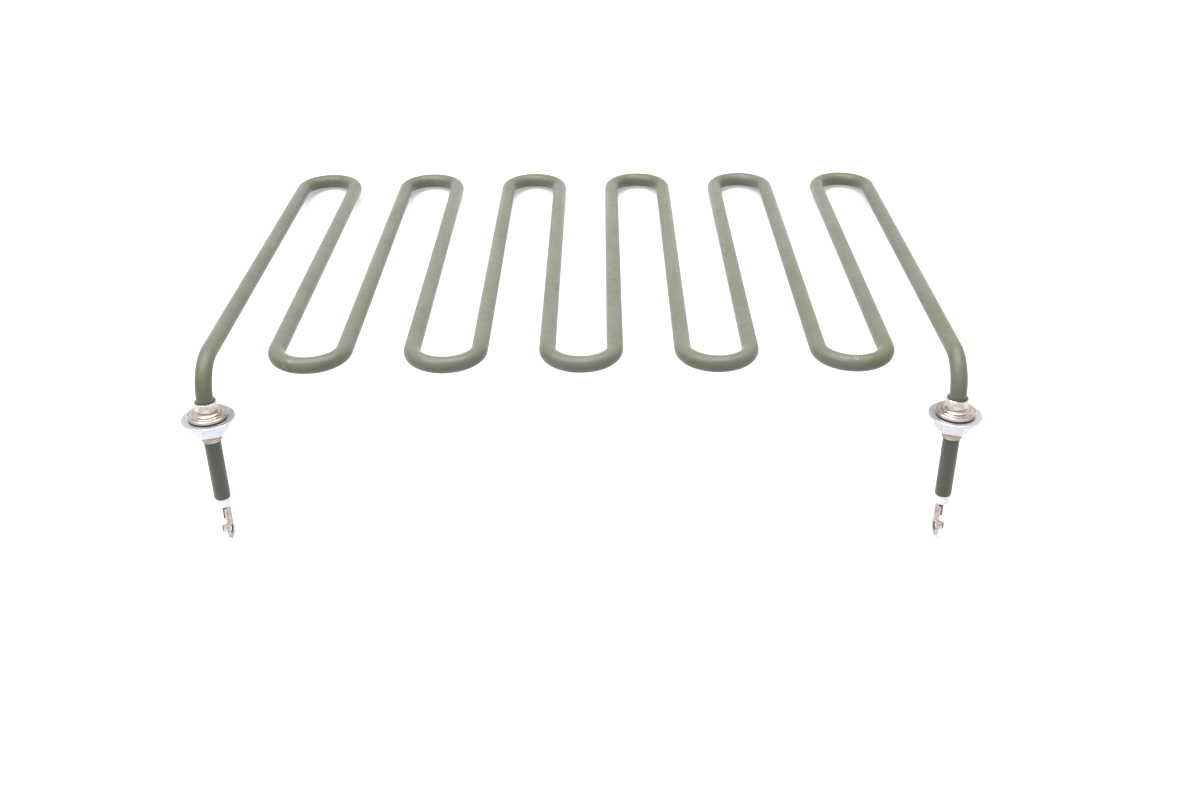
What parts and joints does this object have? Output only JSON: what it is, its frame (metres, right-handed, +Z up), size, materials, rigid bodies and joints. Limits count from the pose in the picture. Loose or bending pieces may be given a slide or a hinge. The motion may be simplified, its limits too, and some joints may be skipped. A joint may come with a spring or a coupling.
{
  "type": "tubular heating element",
  "caption": "Flat serpentine tubular heating element with two threaded panel bushes, ceramic end beads and stamped screw terminals, resting on its terminals and far bends.",
  "frame": {"origin": "middle of the bounding box at bench level, under the element as it rests on its two terminal tabs and its far return bends", "axes": "+X across the limbs from the left leg to the right leg, +Y away from the legs towards the far return bends, +Z up from the bench"},
  "size_m": [0.3802, 0.279, 0.0933],
  "materials": {
    "oxidised_tube": "matt grey-green oxide from bright annealing",
    "magnesia": "pressed white powder",
    "resistance_wire": "drawn wire",
    "pin_steel": "drawn, dull",
    "silicone": "matt",
    "ceramic": "white, unglazed",
    "stamped_terminal": "stamped, nickel-plated",
    "plated_brass": "turned, thin nickel plate",
    "gasket_fibre": "black, matt",
    "zinc_plate": "bright zinc plate"
  },
  "bodies": {
    "root": {"sheath": "oxidised_tube", "magnesia_packing": "magnesia", "resistance_coil": "resistance_wire", "terminal_pin_left": "pin_steel", "end_seal_left": "silicone", "ceramic_bead_left": "ceramic", "terminal_tab_left": "stamped_terminal", "threaded_bush_left": "plated_brass", "gasket_left": "gasket_fibre", "washer_left": "zinc_plate", "hex_nut_left": "zinc_plate", "terminal_pin_right": "pin_steel", "end_seal_right": "silicone", "ceramic_bead_right": "ceramic", "terminal_tab_right": "stamped_terminal", "threaded_bush_right": "plated_brass", "gasket_right": "gasket_fibre", "washer_right": "zinc_plate", "hex_nut_right": "zinc_plate"}
  },
  "joints": []
}
